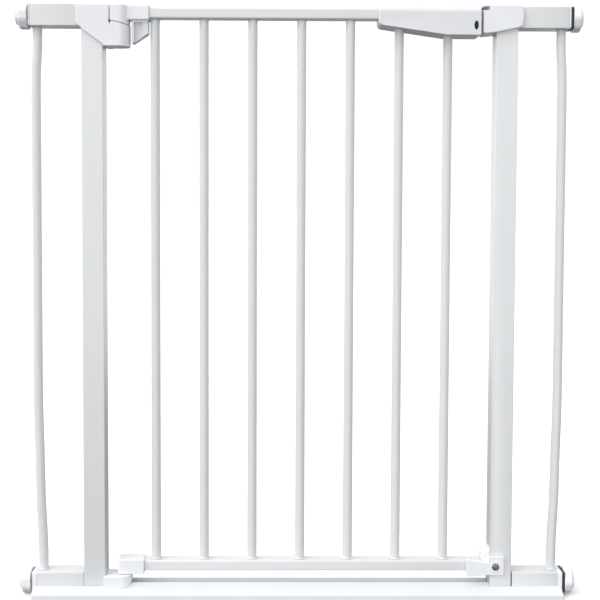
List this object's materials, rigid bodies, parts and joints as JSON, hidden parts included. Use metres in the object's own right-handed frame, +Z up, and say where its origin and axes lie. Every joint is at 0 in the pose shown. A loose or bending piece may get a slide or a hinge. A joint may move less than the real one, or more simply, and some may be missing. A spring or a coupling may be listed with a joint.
{
  "type": "safety baby gate",
  "caption": "Pressure-fit safety gate with a swing door on a lift-and-close hinge, a slide latch handle, side extensions and a ramped threshold.",
  "frame": {"origin": "centre of the threshold underside, on the floor", "axes": "+X along the gate to the latch side, +Y through the doorway in the direction the door opens, +Z up"},
  "size_m": [0.729, 0.06, 0.774],
  "materials": {
    "painted_steel": "white powder coat, satin",
    "white_plastic": "moulded, fine texture",
    "sill_paint": "white powder coat, satin",
    "zinc_steel": "zinc plated",
    "black_plastic": "moulded black",
    "grey_rubber": "matt rubber",
    "green_plastic": "gloss lens"
  },
  "bodies": {
    "frame": {"base_bar": "painted_steel", "hinge_housing": "white_plastic", "left_extension_bar": "painted_steel", "left_low_plug": "white_plastic", "left_low_tube": "painted_steel", "left_low_washer": "grey_rubber", "left_post": "painted_steel", "left_top_plug": "white_plastic", "left_top_tube": "painted_steel", "left_top_washer": "grey_rubber", "lower_hinge_bracket": "white_plastic", "lower_stop": "white_plastic", "right_extension_bar": "painted_steel", "right_low_plug": "white_plastic", "right_low_tube": "painted_steel", "right_low_washer": "black_plastic", "right_post": "painted_steel", "right_top_plug": "white_plastic", "right_top_tube": "painted_steel", "right_top_washer": "black_plastic", "stop_screw": "zinc_steel", "strike_housing": "white_plastic", "strike_screw": "zinc_steel", "threshold": "sill_paint"},
    "riser": {"hinge_pin": "zinc_steel"},
    "door": {"hinge_arm": "white_plastic", "hold_open_catch": "white_plastic", "door_top_rail": "painted_steel", "door_low_rail": "painted_steel", "door_rail_plug": "white_plastic", "pivot_cap": "white_plastic", "lower_pivot_pin": "zinc_steel", "handle": "white_plastic", "handle_screw_1": "zinc_steel", "handle_screw_2": "zinc_steel", "lock_indicator": "green_plastic", "door_bar_1": "painted_steel", "door_bar_2": "painted_steel", "door_bar_3": "painted_steel", "door_bar_4": "painted_steel", "door_bar_5": "painted_steel", "door_bar_6": "painted_steel", "door_bar_7": "painted_steel"},
    "latch": {"latch_bolt": "white_plastic", "thumb_slide": "white_plastic"},
    "left_top_knob_body": {"left_top_knob": "white_plastic"},
    "left_top_spindle_body": {"left_top_spindle": "zinc_steel", "left_top_pad": "grey_rubber"},
    "left_low_knob_body": {"left_low_knob": "white_plastic"},
    "left_low_spindle_body": {"left_low_spindle": "zinc_steel", "left_low_pad": "grey_rubber"},
    "right_top_knob_body": {"right_top_knob": "white_plastic"},
    "right_top_spindle_body": {"right_top_spindle": "zinc_steel", "right_top_pad": "grey_rubber"},
    "right_low_knob_body": {"right_low_knob": "white_plastic"},
    "right_low_spindle_body": {"right_low_spindle": "zinc_steel", "right_low_pad": "grey_rubber"}
  },
  "joints": [
    {"name": "door_rise", "type": "slide", "parent": "frame", "child": "riser", "axis": [0, 0, 1], "range_m": [0, 0.00525]},
    {"name": "door_swing", "type": "hinge", "parent": "riser", "child": "door", "pos_m": [-0.2305, 0, 0.744], "axis": [0, 0, 1], "range_deg": [0, 90]},
    {"name": "latch_slide", "type": "slide", "parent": "door", "child": "latch", "axis": [-1, 0, 0], "range_m": [0, 0.01], "stiffness_N_per_m": 300, "springref_m": -0.01},
    {"name": "left_top_spindle_slide", "type": "slide", "parent": "frame", "child": "left_top_spindle_body", "axis": [-1, 0, 0], "range_m": [0, 0.024]},
    {"name": "left_top_knob_turn", "type": "hinge", "parent": "frame", "child": "left_top_knob_body", "pos_m": [-0.3573, 0, 0.7536], "axis": [-1, 0, 0], "range_deg": [0, 2890]},
    {"name": "left_low_spindle_slide", "type": "slide", "parent": "frame", "child": "left_low_spindle_body", "axis": [-1, 0, 0], "range_m": [0, 0.024]},
    {"name": "left_low_knob_turn", "type": "hinge", "parent": "frame", "child": "left_low_knob_body", "pos_m": [-0.3573, 0, 0.0173], "axis": [-1, 0, 0], "range_deg": [0, 2890]},
    {"name": "right_top_spindle_slide", "type": "slide", "parent": "frame", "child": "right_top_spindle_body", "axis": [1, 0, 0], "range_m": [0, 0.024]},
    {"name": "right_top_knob_turn", "type": "hinge", "parent": "frame", "child": "right_top_knob_body", "pos_m": [0.3573, 0, 0.7536], "axis": [1, 0, 0], "range_deg": [0, 2890]},
    {"name": "right_low_spindle_slide", "type": "slide", "parent": "frame", "child": "right_low_spindle_body", "axis": [1, 0, 0], "range_m": [0, 0.024]},
    {"name": "right_low_knob_turn", "type": "hinge", "parent": "frame", "child": "right_low_knob_body", "pos_m": [0.3573, 0, 0.0173], "axis": [1, 0, 0], "range_deg": [0, 2890]}
  ],
  "couplings": [
    {"joint": "door_rise", "follows": "door_swing", "m_per_rad": 0.0033},
    {"joint": "left_top_knob_turn", "follows": "left_top_spindle_slide", "rad_per_m": 2094.4},
    {"joint": "left_low_knob_turn", "follows": "left_low_spindle_slide", "rad_per_m": 2094.4},
    {"joint": "right_top_knob_turn", "follows": "right_top_spindle_slide", "rad_per_m": 2094.4},
    {"joint": "right_low_knob_turn", "follows": "right_low_spindle_slide", "rad_per_m": 2094.4}
  ]
}
